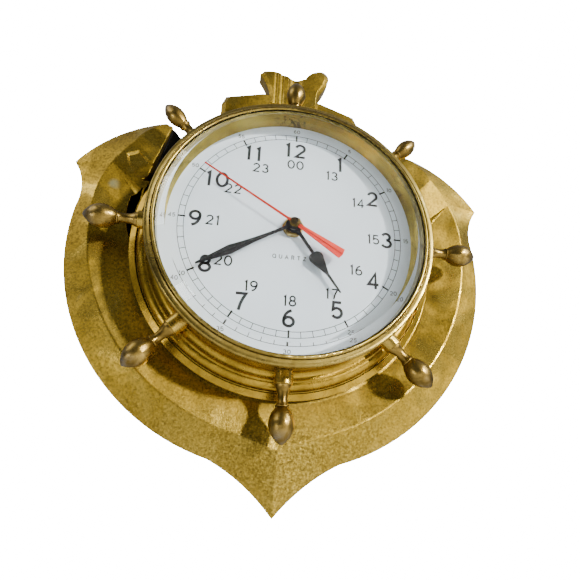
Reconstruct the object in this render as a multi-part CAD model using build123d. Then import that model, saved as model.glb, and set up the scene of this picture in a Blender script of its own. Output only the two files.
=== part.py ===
from build123d import *
from math import cos, hypot, pi, radians, sin
import os

# Ship's deck clock: a brass ship's-wheel quartz clock on a cast anchor plaque.
# Everything is drawn on the bench, with the clock lying on its back: the clock's axis is +Z,
# 12 o'clock is +Y, and z = 0 is the wall. At the end each piece is stood up against the wall,
# with the origin at the centre of the hanging hole. All sizes are in millimetres.

# ---- driving dimensions -------------------------------------------------------------
hang_drop = 84.0            # hanging hole above the clock's axis

anchor_r = 99.0             # outer edge of the anchor's arms
anchor_tip = 116.0          # crown point below the axis
rim_h = 4.0                 # height of the plate's edge
crest_h = 8.0               # height of the ridge along the arms
crest_r = 86.7              # radius of that ridge
fluke_node = (85.3, 35.3)   # where the ridges of the arm and the fluke meet
fluke_tip = (69.5, 57.5)
web_h = 1.6                 # thin web between fluke and case
pocket_floor = 1.2
seat_h = 4.6                # the case stands on this level
seat_r = 72.4               # foot of the arms' inner slope
rear_open_r = 50.0          # opening behind the movement

barrel_r = 60.0             # outside of the case's drum
barrel_bore = 57.2
flange_r = 71.2             # moulded foot of the case
spigot_r = 58.4             # neck that the bezel pushes over
dial_face = 26.0            # height of the dial's face above the wall
dial_t = 0.8
dial_r = 57.1

bezel_r = 61.9
lip_r = 57.5                # clear opening of the bezel
bezel_front = 35.3
glass_r = 57.8
seat_ring_r = 57.25         # inside of the gasket and the ring that hold the glass
glass_back = 33.3
glass_front = 37.0
glass_edge = 34.1           # top of the thin edge, at the foot of the bevel
bevel_r = 53.2              # where the flat of the glass ends

handle_count = 8
handle_h = 19.45            # height of the handles' axes above the wall
egg_r = 5.1
egg_girths = (0.92, 0.78, 1, 1, 1, 1, 1, 0.80)   # hand-turned, so three of the eggs are slimmer
ferrule_r = 3.95
ferrule_end = 66.3
handle_tip = 89.0
stud_r = 1.5

case_screw_pcd_r = 64.0
case_screw_angles = (45, 135, 225, 315)

hour_angle = 144.5          # where the hands stand, clockwise from 12
minute_angle = 240.0
second_angle = 301.0
hand_t = 0.35
hour_hand_z = 28.9
minute_hand_z = 30.1
second_hand_z = 31.3

move_w = 56.0               # quartz movement
move_front = 24.4
move_back = 9.4
move_wall = 1.2
bay_y = -10.8               # top wall of the battery bay
battery_r = 7.1
battery_len = 49.0
battery_y = -19.1
battery_z = 15.4

fit = 0.05                  # radial running clearance


# ---- small helpers --------------------------------------------------------------------
def face_of(*steps):
    """Closed face that looks up. A step is a point, or (point on arc, end point)."""
    edges = []
    here = steps[0]
    for step in steps[1:] + (steps[0],):
        if isinstance(step[0], tuple):
            edges.append(ThreePointArc(here, step[0], step[1]))
            here = step[1]
        else:
            if hypot(step[0] - here[0], step[1] - here[1]) > 1e-6:
                edges.append(Line(here, step))
            here = step
    face = make_face(edges).face()
    return face if face.normal_at().Z > 0 else -face


def turned(*steps):
    """Ring or disc turned about the clock's axis from a profile of (radius, height)."""
    return revolve(Plane.XZ * face_of(*steps), axis=Axis.Z)


def ring(r_in, r_out, z0, z1):
    """Plain ring, or a disc when r_in is 0."""
    body = Pos(0, 0, (z0 + z1) / 2) * Cylinder(r_out, z1 - z0)
    if r_in > 0:
        body -= Pos(0, 0, (z0 + z1) / 2) * Cylinder(r_in, z1 - z0 + 2)
    return body


def at(x, y, solid):
    return Pos(x, y, 0) * solid


def clock_dir(angle, r):
    """Point at a clock angle, clockwise from 12, at radius r."""
    return (r * sin(radians(angle)), r * cos(radians(angle)))


def block(x0, x1, y0, y1, z0, z1):
    return Pos((x0 + x1) / 2, (y0 + y1) / 2, (z0 + z1) / 2) * Box(x1 - x0, y1 - y0, z1 - z0)


# ---- anchor plaque ----------------------------------------------------------------------
def closed_both_sides(right_edges):
    """Face from the right-hand edges of a symmetric outline, closed by its mirror image."""
    left_edges = [mirror(edge, about=Plane.YZ) for edge in right_edges]
    ends = (right_edges[-1] @ 1, left_edges[-1] @ 1)
    return make_face(right_edges + left_edges + [Line(ends[0], ends[1])])


def arc_edges(*steps):
    edges = []
    here = steps[0]
    for middle, end in steps[1:]:
        if middle is None:
            edges.append(Line(here, end))
        else:
            edges.append(ThreePointArc(here, middle, end))
        here = end
    return edges


def anchor_outline():
    """Crown point, ogee, round arm, notch, barb, fluke top, blunt fluke end, inner edge."""
    return arc_edges(
        (0, -anchor_tip),
        ((12.0, -104.6), clock_dir(164, anchor_r)),
        (clock_dir(122, anchor_r), clock_dir(83, anchor_r)),
        ((98.0, 24.5), (102.9, 35.4)),
        ((87.2, 53.0), (64.2, 65.0)),
        (None, (60.8, 63.4)),
        ((64.3, 46.0), (68.3, 24.0)),
    )


def anchor_crest():
    """Ridge line that faces each stretch of the outline."""
    return arc_edges(
        (0, -91.0),
        ((10.0, -87.4), clock_dir(164, crest_r)),
        ((75.0, -43.5), (89.9, 5.0)),
        ((89.8, 20.0), fluke_node),
        ((77.5, 48.0), fluke_tip),
        (None, (64.2, 50.5)),
        ((65.9, 40.0), (70.4, 27.0)),
    )


def arm_slope_cut():
    """Inner slope of the arms, from just inside the ridge down to the case's seat."""
    top = arc_edges(
        (0, -90.5),
        ((9.8, -86.9), clock_dir(164, crest_r - 0.5)),
        ((74.5, -43.2), (89.4, 5.0)),
        ((89.3, 20.0), (fluke_node[0] - 0.5, fluke_node[1] - 0.4)),
        (None, (70.0, 22.2)),
    )
    foot = arc_edges(
        (0, -seat_r),
        (clock_dir(172, seat_r), clock_dir(164, seat_r)),
        (clock_dir(127, seat_r), clock_dir(90, seat_r)),
        (clock_dir(84, seat_r), clock_dir(76, seat_r)),
        (None, (66.5, 16.0)),
    )
    return loft([Pos(0, 0, seat_h) * closed_both_sides(foot), Pos(0, 0, crest_h) * closed_both_sides(top)],
                ruled=True)


def fluke_facet_cut():
    """Slanted flat near the fluke's point, falling away from its diagonal ridge."""
    ridge_start = Vector(77.2, 50.2, crest_h)
    ridge_end = Vector(65.9, 38.0, crest_h)
    low_point = Vector(64.0, 57.0, crest_h - 2.4)
    along = (ridge_end - ridge_start).normalized()
    normal = along.cross(low_point - ridge_start).normalized()
    if normal.Z < 0:
        normal = normal * -1
    plane = Plane(origin=ridge_start, x_dir=along, z_dir=normal)
    reach = 30
    side = 1 if plane.to_local_coords(low_point).Y > 0 else -1
    flat = plane * (Pos(6, side * reach / 2) * Rectangle(40, reach))
    return extrude(flat, 6, dir=normal)


def fluke_panel_cut():
    """Sunken rough panel with sloping walls on the left fluke."""
    deep = 1.0
    shrink = 0.84
    panel = face_of((-79.5, 41.3), (-74.2, 44.0), (-66.0, 36.0), (-67.6, 29.2), (-72.8, 28.8),
                    (-77.8, 36.0))
    middle = panel.center()
    floor = Pos(middle.X * (1 - shrink), middle.Y * (1 - shrink), crest_h - deep) * scale(panel, by=shrink)
    return loft([floor, Pos(0, 0, crest_h + 0.01) * panel], ruled=True)


def fluke_webs():
    """Thin low webs that tie the flukes' inner edges to the seat."""
    web = face_of((70.6, 22.0), (61.6, 64.2), (59.4, 62.9), (56.9, 59.5), (53.6, 57.5), (48.0, 50.0),
                  (62.0, 30.0), (66.0, 22.0))
    web = extrude(web, web_h)
    return web + mirror(web, about=Plane.YZ)


def stock_bar():
    """Short cross bar above the case, with sloping sides."""
    bar = face_of((-37.8, 56), (-37.8, 82.4), (-35.8, 87.6), (-16.0, 93.6), (16.0, 92.6),
                  (34.6, 86.2), (37.6, 79.5), (37.6, 56))
    bar = extrude(bar, 7.2)
    return chamfer(bar.faces().sort_by(Axis.Z)[-1].edges(), 2.4)


def horn_block():
    """Head of the shank with its two horns; the right lobe is taller and rounder."""
    head = face_of((-13.8, 84.0), ((-13.2, 94.0), (-14.8, 98.5)), ((-16.6, 102.0), (-18.6, 105.4)),
                   (-16.4, 108.0), (-10.6, 108.6), ((-3.6, 105.8), (7.4, 106.0)),
                   ((11.0, 111.4), (16.6, 114.2)), ((19.4, 111.8), (19.4, 106.4)),
                   ((17.4, 101.0), (15.2, 97.2)), ((14.4, 92.0), (14.6, 84.0)))
    shrink = 0.87
    top = Pos(0.5 * (1 - shrink), 98 * (1 - shrink), 8.4) * scale(head, by=shrink)
    head = extrude(head, 6.6) + loft([Pos(0, 0, 6.6) * head, top], ruled=True)
    head -= Pos(1.2, 108.0, 10.6) * Rot(90, 0, 0) * Cylinder(4.6, 40)
    for x in (-9.6, -6.2):
        head -= Pos(x, 100.0, 9.2) * Rot(90, 0, 0) * Cylinder(1.4, 40)
    return head


def shadow_pockets():
    """Deep crescents between each arm and the case, above the 9 and 3 o'clock handles."""
    pocket = face_of((71.0, -4.0), ((74.6, 6.0), (74.2, 19.6)), (68.8, 23.2), ((71.6, 11.0), (71.0, -4.0)))
    pocket = Pos(0, 0, pocket_floor) * extrude(pocket, 12)
    return [pocket, mirror(pocket, about=Plane.YZ)]


def back_hollow():
    """Cored-out back of the arms, which leaves a rim against the wall."""
    section = Plane.XZ * face_of((76.5, -1), (76.5, 2.8), (95.0, 2.8), (95.0, -1))
    sector = revolve(section, axis=Axis.Z, revolution_arc=160)
    return Rot(0, 0, 190) * sector


def anchor_plate():
    low = closed_both_sides(anchor_outline())
    high = closed_both_sides(anchor_crest())
    plate = extrude(low, rim_h)
    plate += loft([Pos(0, 0, rim_h) * low, Pos(0, 0, crest_h) * high], ruled=True)
    plate -= arm_slope_cut()
    plate += ring(0, flange_r - 0.4, 0, seat_h)
    plate += fluke_webs()
    plate += stock_bar()
    plate += horn_block()
    # the case stands in front of the stock's foot
    plate -= ring(0, flange_r + 0.6, seat_h, 20)
    facet = fluke_facet_cut()
    plate -= facet
    plate -= mirror(facet, about=Plane.YZ)
    plate -= fluke_panel_cut()
    for pocket in shadow_pockets():
        plate -= pocket
    plate -= back_hollow()
    plate -= ring(0, rear_open_r, -1, seat_h + 1)
    for angle in case_screw_angles:
        x, y = clock_dir(angle, case_screw_pcd_r)
        plate -= at(x, y, ring(0, 1.7, -1, seat_h + 1))
        plate -= at(x, y, ring(0, 3.3, -1, 2.6))
    # pocket for the hanging plate, and a deeper well for the wall screw's head
    plate -= block(-15.2, 15.2, hang_drop - 6.2, hang_drop + 6.2, -1, 1.2)
    plate -= at(0, hang_drop, ring(0, 5.0, -1, 4.4))
    for x in (-11, 11):
        plate -= at(x, hang_drop, ring(0, 1.0, -1, 4.2))
    return plate


def hanger_plate():
    tab = block(-15, 15, hang_drop - 6, hang_drop + 6, 0, 1.2)
    tab = fillet(tab.edges().filter_by(Axis.Z), 2)
    tab -= at(0, hang_drop, ring(0, 2.5, -1, 3))
    for x in (-11, 11):
        tab -= at(x, hang_drop, turned((0, -1), (2.2, -1), (2.2, 0), (1.1, 1.0), (1.1, 2), (0, 2)))
    return tab


def hanger_screws():
    screw = turned((0, 0.1), (2.0, 0.1), (1.0, 1.1), (1.0, 4.0), (0, 4.0))
    screw -= block(-2.5, 2.5, -0.25, 0.25, -0.5, 0.5)
    return [at(x, hang_drop, screw) for x in (-11, 11)]


# ---- case -----------------------------------------------------------------------------------
def case_body():
    """Drum with a moulded foot: sloping rim band, groove, round, step, cove, plain drum, neck."""
    case = turned(
        (48.0, seat_h), (flange_r, seat_h), (flange_r, 7.3), (68.5, 8.6), (68.1, 8.0), (67.6, 8.2),
        ((66.9, 10.6), (64.7, 11.7)), (64.2, 11.7), (63.6, 12.3),
        ((61.0, 12.8), (barrel_r, 14.3)), (barrel_r, 24.6), (spigot_r, 24.6), (spigot_r, 29.4),
        (dial_r + 0.3, 29.4), (dial_r + 0.3, dial_face - dial_t), (54.0, dial_face - dial_t),
        (54.0, 23.4), (barrel_bore, 21.8), (barrel_bore, 7.2), (48.0, 7.2))
    for angle in case_screw_angles:
        x, y = clock_dir(angle, case_screw_pcd_r)
        case -= at(x, y, ring(0, 1.5, seat_h - 1, 9.2))
    for number in range(handle_count):
        case -= handle_place(number, Pos(0, 57, 0) * Rot(90, 0, 0) * Cylinder(stud_r + 0.02, 14))
    return case


def case_screws():
    """Round-headed screws from behind, with a slot."""
    screw = turned((0, 0.4), (2.2, 0.4), ((2.8, 0.9), (2.9, 2.1)), (1.5, 2.1), (1.5, 8.8), (0, 8.8))
    screw -= block(-3, 3, -0.4, 0.4, 0, 1.2)
    return [at(*clock_dir(angle, case_screw_pcd_r), screw) for angle in case_screw_angles]


def case_washers():
    return [at(*clock_dir(angle, case_screw_pcd_r), ring(1.6, 3.1, 2.1, 2.6))
            for angle in case_screw_angles]


# ---- the eight turned wheel handles ------------------------------------------------------------
def handle_place(number, solid):
    """Turn a piece drawn along 12 o'clock to one of the handle positions."""
    return Rot(0, 0, -360 / handle_count * number) * Pos(0, 0, handle_h) * solid


def spindle(*steps):
    """Piece turned about the 12 o'clock line from (radius, distance from the clock's axis)."""
    return revolve(face_of(*steps), axis=Axis.Y)


def handle_ferrule(number):
    sleeve = spindle((stud_r, 58.0), (ferrule_r, 58.0), (ferrule_r, ferrule_end - 0.3),
                     (ferrule_r - 0.4, ferrule_end), (stud_r, ferrule_end))
    return handle_place(number, sleeve) - ring(0, barrel_r, 0, 40)


def handle_stud(number):
    return handle_place(number, spindle((0, 57.3), (stud_r, 57.3), (stud_r, 71.0), (0, 71.0)))


def wheel_handle(number):
    """Base cone, thin neck, bead, and an egg that ends in a blunt point."""
    egg = egg_r * egg_girths[number]
    grip = spindle(
        (stud_r, ferrule_end), (3.4, ferrule_end), (3.2, ferrule_end + 0.9),
        ((2.35, ferrule_end + 2.9), (2.05, 71.6)), ((2.15, 73.0), (2.5, 74.0)),
        ((2.9, 74.4), (0.5 * egg, 74.9)), ((0.80 * egg, 77.2), (egg, 80.1)),
        ((0.90 * egg, 84.3), (0.46 * egg, 87.5)), ((0.26 * egg, 88.4), (0.4, handle_tip)),
        (0, handle_tip), (0, 71.0), (stud_r, 71.0))
    return handle_place(number, grip)


# ---- dial and bezel ----------------------------------------------------------------------------
def dial():
    return ring(3.4, dial_r, dial_face - dial_t, dial_face)


def inner_ring():
    """Polished sloping wall round the dial, with a foot that clamps the dial."""
    return turned((53.9, dial_face), (dial_r + 0.2, dial_face), (dial_r + 0.2, dial_face + 0.9),
                  (57.1, dial_face + 0.9), (57.1, 33.1), (56.8, 33.1))


def bezel():
    """Pushes over the case's neck: flared skirt, outer bead, sunk band, groove and inner lip."""
    return turned(
        (spigot_r + fit, 24.8), (60.5, 24.8), (60.7, 25.4), ((60.8, 29.6), (61.6, 32.2)),
        ((bezel_r, 33.3), (61.25, 34.15)), ((60.4, 34.25), (59.35, 34.75)), (59.1, 34.35),
        (58.85, 34.7), ((58.2, bezel_front), (lip_r, 34.9)), (lip_r, 34.55),
        (glass_r + 0.1, 34.3), (glass_r + 0.1, 31.0), (58.1, 31.0), (58.1, 29.7),
        (spigot_r + fit, 29.7))


def glass():
    """Flat plate with a wide bevel that stands proud of the bezel's lip."""
    return turned((0, glass_back), (glass_r, glass_back), (glass_r, glass_edge),
                  (bevel_r, glass_front), (0, glass_front))


def glass_gasket():
    return ring(seat_ring_r, glass_r, glass_back - 0.6, glass_back)


def glass_retaining_ring():
    return ring(seat_ring_r, glass_r + 0.05, glass_back - 1.5, glass_back - 0.6)


# ---- hands ----------------------------------------------------------------------------------------
def at_angle(angle, solid):
    return Rot(0, 0, -angle) * solid


def flat_hand(shape, bore, z):
    hand = Pos(0, 0, z) * extrude(shape, hand_t)
    return hand - ring(0, bore, z - 1, z + 1)


def both_sides(*half):
    """Closed outline from its right-hand (half width, distance) points; arcs as in face_of."""
    right = face_of(*half)
    return right + mirror(right, about=Plane.YZ)


def hour_hand():
    blade = both_sides((0, 0), (0.9, 0), (0.7, 14.8), ((2.8, 15.8), (3.0, 18.4)),
                       ((1.75, 22.4), (0.62, 25.8)), (0.42, 35.3), (0, 35.6))
    return at_angle(hour_angle, flat_hand(blade + Circle(3.5), 2.5, hour_hand_z))


def minute_hand():
    blade = both_sides((0, 0), (0.9, 0), (0.62, 8), ((1.0, 20), (1.95, 30.0)), (0.3, 45.2), (0, 45.4))
    return at_angle(minute_angle, flat_hand(blade + Circle(2.9), 1.4, minute_hand_z))


def seconds_hand():
    blade = both_sides((0, -24.4), (2.35, -23.9), (0.7, -2.2), (0.42, 2.0), (0.2, 47.0), (0, 47.0))
    return at_angle(second_angle, flat_hand(blade + Circle(1.9), 0.45, second_hand_z))


def hand_cap():
    low = second_hand_z + hand_t
    return turned((0.45, low), (2.2, low), (2.35, low + 0.3), ((1.9, low + 0.95), (0.5, low + 1.2)),
                  (0, low + 1.2), (0, low + 0.85), (0.45, low + 0.85))


# ---- quartz movement: housing and fixings -----------------------------------------------------------
def movement_case():
    """Front shell with the battery bay along its lower edge."""
    half = move_w / 2
    shell = block(-half, half, -half, half, 12.4, move_front)
    shell = fillet(shell.edges().filter_by(Axis.Z), 3.0)
    shell -= block(-half + move_wall, half - move_wall, bay_y + move_wall, half - move_wall,
                   10, move_front - 1.4)
    shell -= block(-half + move_wall, half - move_wall, -half + move_wall, bay_y,
                   10, move_front - 1.2)
    shell -= ring(0, 3.3, 20, 30)
    # top pivot holes of the minute wheel and the setting shaft
    for x, y in (minute_wheel_at, setting_at):
        shell -= at(x, y, ring(0, 0.3 + fit, 20, move_front - 0.8))
    return shell


def movement_cover():
    """Rear cover over the train, with pivot holes and the setting knob's hole."""
    half = move_w / 2
    cover = block(-half, half, bay_y, half, move_back, 12.3)
    cover = fillet(cover.edges().filter_by(Axis.Z).group_by(Axis.Y)[-1], 3.0)
    for x, y in (third_at, fifth_at, rotor_at, (0, 0)):
        cover -= at(x, y, ring(0, 0.3 + fit, 11.6, 13))
    cover -= at(*setting_at, ring(0, 1.5 + fit, 8, 13))
    return cover


def train_bridge():
    """Plate between the hand gears and the running train, on two pillars."""
    plate = block(-16, 22, -8.6, 14.5, 18.9, 19.6)
    for x, y in (third_at, fifth_at, rotor_at):
        plate -= at(x, y, ring(0, 0.3 + fit, 18, 21))
    plate -= at(0, 0, ring(0, 1.4 + fit, 18, 21))
    plate -= at(*setting_at, ring(0, 1.5 + fit, 18, 21))
    plate -= at(*minute_wheel_at, ring(0, 0.3 + fit, 18, 21))
    for x, y in ((-14, -7.2), (20, -7.2), (20, 12.5), (-14, 12.9)):
        plate += at(x, y, ring(0, 1.2, 19.6, move_front - 1.4))
    return plate


def movement_bushing():
    """Threaded brass tube that carries the movement on the dial."""
    return ring(2.5 + fit, 3.3, move_front - 1.4, 28.5)


def rubber_washer():
    return ring(3.35, 9.0, move_front, dial_face - dial_t)


def dial_washer():
    return ring(3.35, 4.4, dial_face, dial_face + 0.5)


def dial_nut():
    flat_to_flat = 8.4
    z0 = dial_face + 0.5
    nut = Pos(0, 0, z0) * extrude(RegularPolygon(flat_to_flat / 2, 6, major_radius=False), 1.7)
    return nut - ring(0, 3.3, z0 - 1, z0 + 3)


# ---- quartz movement: gears --------------------------------------------------------------------------
pinion_teeth = 8
cannon_teeth, minute_wheel_teeth = 12, 36
minute_pinion_teeth, hour_teeth = 10, 40
setting_teeth = 12
centre_teeth, third_teeth = 64, 60
seconds_teeth, fifth_teeth = 60, 32

hand_distance = 7.5
module_motion = 2 * hand_distance / (cannon_teeth + minute_wheel_teeth)
module_hour = 2 * hand_distance / (minute_pinion_teeth + hour_teeth)
third_distance = 8.5
module_centre = 2 * third_distance / (centre_teeth + pinion_teeth)
module_third = 2 * third_distance / (third_teeth + pinion_teeth)
module_fast = 0.25
fifth_distance = module_fast * (seconds_teeth + pinion_teeth) / 2
rotor_distance = module_fast * (fifth_teeth + pinion_teeth) / 2
setting_distance = module_motion * (minute_wheel_teeth + setting_teeth) / 2

third_dir, fifth_dir, rotor_dir = 60, 150, 120
minute_wheel_at = (hand_distance, 0)
setting_at = (hand_distance + setting_distance, 0)
third_at = (third_distance * cos(radians(third_dir)), third_distance * sin(radians(third_dir)))
fifth_at = (fifth_distance * cos(radians(fifth_dir)), fifth_distance * sin(radians(fifth_dir)))
rotor_at = (fifth_at[0] + rotor_distance * cos(radians(rotor_dir)),
            fifth_at[1] + rotor_distance * sin(radians(rotor_dir)))

gear_t = 0.6
layer_hour, layer_minute = 21.6, 20.3
layer_centre, layer_third, layer_seconds, layer_fifth = 17.8, 16.4, 15.0, 13.6


def gear(teeth, module, z, thick, bore, phase):
    """Straight-flanked wheel; one tooth is centred at the angle phase, in degrees from +X."""
    few = teeth < 15
    root_half = 0.50 * module if few else 0.92 * module
    tip_half = 0.28 * module
    root_r = module * (teeth / 2 - 1.15)
    tip_r = module * (teeth / 2 + 0.75)
    points = []
    for number in range(teeth):
        middle = radians(phase + 360 / teeth * number)
        for r, half in ((root_r, -root_half), (tip_r, -tip_half), (tip_r, tip_half), (root_r, root_half)):
            angle = middle + half / r
            points.append((r * cos(angle), r * sin(angle)))
    wheel = Pos(0, 0, z) * extrude(make_face(Polyline(*points, close=True)), thick)
    if bore > 0:
        wheel -= ring(0, bore, z - 1, z + thick + 1)
    return wheel


def meshed_phase(phase, teeth, direction, other_teeth):
    """Phase of a wheel that meshes with one lying in the given direction from it."""
    offset = (direction - phase) / (360 / teeth)
    return direction + 180 + (offset + 0.5) * 360 / other_teeth


def spoke_holes(wheel, at_xy, r_mid, r_hole, count, z):
    """Lightening holes through a wheel's web."""
    for number in range(count):
        angle = radians(360 / count * number + 15)
        hole = ring(0, r_hole, z - 1, z + 2)
        wheel -= at(at_xy[0] + r_mid * cos(angle), at_xy[1] + r_mid * sin(angle), hole)
    return wheel


minute_phase = meshed_phase(0, cannon_teeth, 0, minute_wheel_teeth)
hour_phase = meshed_phase(0, minute_pinion_teeth, 180, hour_teeth)
setting_phase = meshed_phase(minute_phase, minute_wheel_teeth, 0, setting_teeth)
third_phase = meshed_phase(0, pinion_teeth, third_dir, third_teeth)
centre_phase = meshed_phase(0, pinion_teeth, third_dir + 180, centre_teeth)
fifth_pinion_phase = meshed_phase(0, seconds_teeth, fifth_dir, pinion_teeth)
rotor_phase = meshed_phase(0, fifth_teeth, rotor_dir, pinion_teeth)


def cannon_pinion():
    """Minute tube with its small gear; the minute hand sits on its end."""
    tube = ring(0.5, 1.4, 17.5, 30.6)
    return tube + gear(cannon_teeth, module_motion, layer_minute, 0.8, 1.35, 0)


def hour_wheel():
    wheel = gear(hour_teeth, module_hour, layer_hour, gear_t, 1.4 + fit, hour_phase)
    wheel = spoke_holes(wheel, (0, 0), 4.0, 0.8, 6, layer_hour)
    return wheel + ring(1.4 + fit, 2.5, layer_hour, 29.3)


def minute_wheel():
    """Wheel and pinion between the minute tube and the hour wheel."""
    wheel = gear(minute_wheel_teeth, module_motion, layer_minute, gear_t, 0, minute_phase)
    wheel = spoke_holes(wheel, (0, 0), 3.8, 0.7, 6, layer_minute)
    wheel += gear(minute_pinion_teeth, module_hour, layer_minute + gear_t, 1.3, 0, 0)
    wheel += ring(0, 0.3, 19.2, layer_minute)
    wheel += ring(0, 0.3, 22.2, 23.3)
    return at(*minute_wheel_at, wheel)


def setting_knob():
    """Knurled knob behind the movement, with the shaft that sets the hands."""
    knob = ring(0, 5.0, 7.4, 9.1)
    notch_count = 24
    for number in range(notch_count):
        angle = radians(360 / notch_count * number)
        knob -= at(5.25 * cos(angle), 5.25 * sin(angle), ring(0, 0.45, 7, 10))
    knob += ring(0, 1.5, 9.1, 20.0)
    knob += ring(0, 1.1, 20.0, layer_minute)
    knob += gear(setting_teeth, module_motion, layer_minute, 0.8, 0, setting_phase)
    knob += ring(0, 0.3, layer_minute + 0.8, 23.3)
    return at(*setting_at, knob)


def seconds_wheel():
    """Long arbor up the middle, with the seconds wheel and its pinion."""
    wheel = gear(seconds_teeth, module_fast, layer_seconds, gear_t, 0, 0)
    wheel = spoke_holes(wheel, (0, 0), 4.0, 0.8, 6, layer_seconds)
    wheel += gear(pinion_teeth, module_third, layer_seconds + gear_t, 1.5, 0, 0)
    wheel += ring(0, 0.45, 12.6, 32.5)
    return wheel + ring(0, 0.3, 12.0, 12.6)


def third_wheel():
    wheel = gear(third_teeth, module_third, layer_third, gear_t, 0, third_phase)
    wheel = spoke_holes(wheel, (0, 0), 4.4, 1.0, 6, layer_third)
    wheel += gear(pinion_teeth, module_centre, layer_third + gear_t, 1.5, 0, 0)
    wheel += ring(0, 0.5, 12.6, 18.7)
    wheel += ring(0, 0.3, 12.0, 12.6)
    return at(*third_at, wheel + ring(0, 0.3, 18.7, 19.4))


def centre_wheel():
    """Clutch wheel: it turns the minute tube by friction and slips when the hands are set."""
    wheel = gear(centre_teeth, module_centre, layer_centre, gear_t, 1.4 + fit, centre_phase)
    return spoke_holes(wheel, (0, 0), 4.4, 1.0, 6, layer_centre)


def fifth_wheel():
    wheel = gear(fifth_teeth, module_fast, layer_fifth, gear_t, 0, 0)
    wheel += gear(pinion_teeth, module_fast, layer_fifth + gear_t, 1.6, 0, fifth_pinion_phase)
    wheel += ring(0, 0.45, 12.6, 18.7)
    wheel += ring(0, 0.3, 12.0, 12.6)
    return at(*fifth_at, wheel + ring(0, 0.3, 18.7, 19.4))


def rotor():
    """Stepping motor's magnet with its pinion."""
    magnet = ring(0, 2.4, 15.4, 17.6)
    magnet += gear(pinion_teeth, module_fast, layer_fifth, 0.8, 0, rotor_phase)
    magnet += ring(0, 0.45, 12.6, 18.7)
    magnet += ring(0, 0.3, 12.0, 12.6)
    return at(*rotor_at, magnet + ring(0, 0.3, 18.7, 19.4))


# ---- quartz movement: electrics ------------------------------------------------------------------------
coil_x = -20.0
coil_z = 16.6
coil_y0, coil_y1 = 0.0, 15.0


def stator_arm(y, side):
    """Flat iron arm: straight up or down from the rotor, then across to the coil's core."""
    x, half = rotor_at[0], 1.5
    arm = face_of((x - half, rotor_at[1]), (x + half, rotor_at[1]), (x + half, y + side * half),
                  (coil_x, y + side * half), (coil_x, y - side * half), (x - half, y - side * half))
    return Pos(0, 0, coil_z - 0.7) * extrude(arm, 1.4)


def stator():
    iron = at(*rotor_at, ring(0, 3.6, coil_z - 0.7, coil_z + 0.7))
    iron += stator_arm(coil_y1 + 2.6, 1)
    iron += stator_arm(coil_y0 - 2.6, -1)
    iron += block(coil_x - 1.2, coil_x + 1.2, coil_y0 - 4.1, coil_y1 + 4.1, coil_z - 0.7, coil_z + 0.7)
    return iron - at(*rotor_at, ring(0, 2.8, 10, 20))


def coil_bobbin():
    """Plastic former on the core, with two end cheeks."""
    along_y = Rot(90, 0, 0)
    tube_len = coil_y1 - coil_y0
    middle = Pos(coil_x, (coil_y0 + coil_y1) / 2, coil_z)
    former = middle * along_y * Cylinder(2.0, tube_len)
    for y in (coil_y0 + 0.4, coil_y1 - 0.4):
        former += Pos(coil_x, y, coil_z) * along_y * Cylinder(3.5, 0.8)
    return former - middle * Box(2.5, tube_len + 4, 1.5)


def coil_winding():
    length = coil_y1 - coil_y0 - 1.6
    middle = Pos(coil_x, (coil_y0 + coil_y1) / 2, coil_z) * Rot(90, 0, 0)
    return middle * Cylinder(3.1, length) - middle * Cylinder(2.0, length + 2)


def circuit_board():
    board = block(11.0, 26.2, 10.5, 26.2, 13.2, 14.0)
    return board - at(24.0, 24.0, ring(0, 0.8, 12, 15))


def board_chip():
    return at(15.5, 15.0, Pos(0, 0, 14.5) * Sphere(2.2)) & block(11, 20, 11, 19, 14.0, 15.4)


def quartz_crystal():
    can = Pos(20.5, 21.0, 15.0) * Rot(0, 90, 0) * Cylinder(1.0, 6.0)
    for y in (-0.4, 0.4):
        can += Pos(17.0, 21.0 + y, 15.0) * Rot(0, 90, 0) * Cylinder(0.15, 1.4)
    return can


def contact_spring(side):
    """Sprung brass strip at one end of the battery bay."""
    x = side * (move_w / 2 - move_wall)
    strip = block(min(x, x - side * 0.4), max(x, x - side * 0.4), -25.0, -13.2, 12.6, 22.6)
    if side < 0:
        return strip - block(x - 1, x + 1, -20.4, -17.8, 14.1, 16.7)
    bump = Pos(x - side * 0.4, battery_y, battery_z) * Sphere(1.3)
    return strip + (bump & block(x - 1.2, x - 0.3, -21, -17, 13, 18))


def contact_negative():
    return contact_spring(-1)


def contact_positive():
    return contact_spring(1)


def battery():
    """AA cell lying along the bay, its positive cap to the right."""
    can = revolve(face_of((0, -25.6), (6.4, -25.6), (battery_r, -25.0), (battery_r, 22.9), (6.5, 23.5),
                          (3.4, 23.6), (2.7, 24.0), (2.6, 24.8), (0, 24.8)), axis=Axis.Y)
    return Pos(0, battery_y, battery_z) * Rot(0, 0, -90) * can


# ---- stand the clock up and write one file per piece ---------------------------------------------------
def stand_up(solid):
    return Rot(90, 0, 0) * Pos(0, -hang_drop, 0) * solid


def all_pieces():
    pieces = {}
    for make in (anchor_plate, hanger_plate, hanger_screws, case_body, case_screws, case_washers,
                 dial, inner_ring, bezel, glass, glass_gasket, glass_retaining_ring,
                 hour_hand, minute_hand, seconds_hand, hand_cap,
                 movement_case, movement_cover, train_bridge, movement_bushing,
                 rubber_washer, dial_washer, dial_nut,
                 cannon_pinion, hour_wheel, minute_wheel, setting_knob,
                 seconds_wheel, third_wheel, centre_wheel, fifth_wheel, rotor,
                 stator, coil_bobbin, coil_winding, circuit_board, board_chip, quartz_crystal,
                 contact_negative, contact_positive, battery):
        pieces[make.__name__] = make()
    pieces["handle_studs"] = [handle_stud(number) for number in range(handle_count)]
    for number in range(handle_count):
        pieces[f"handle_ferrule_{number + 1}"] = handle_ferrule(number)
        pieces[f"wheel_handle_{number + 1}"] = wheel_handle(number)
    return pieces


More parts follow.
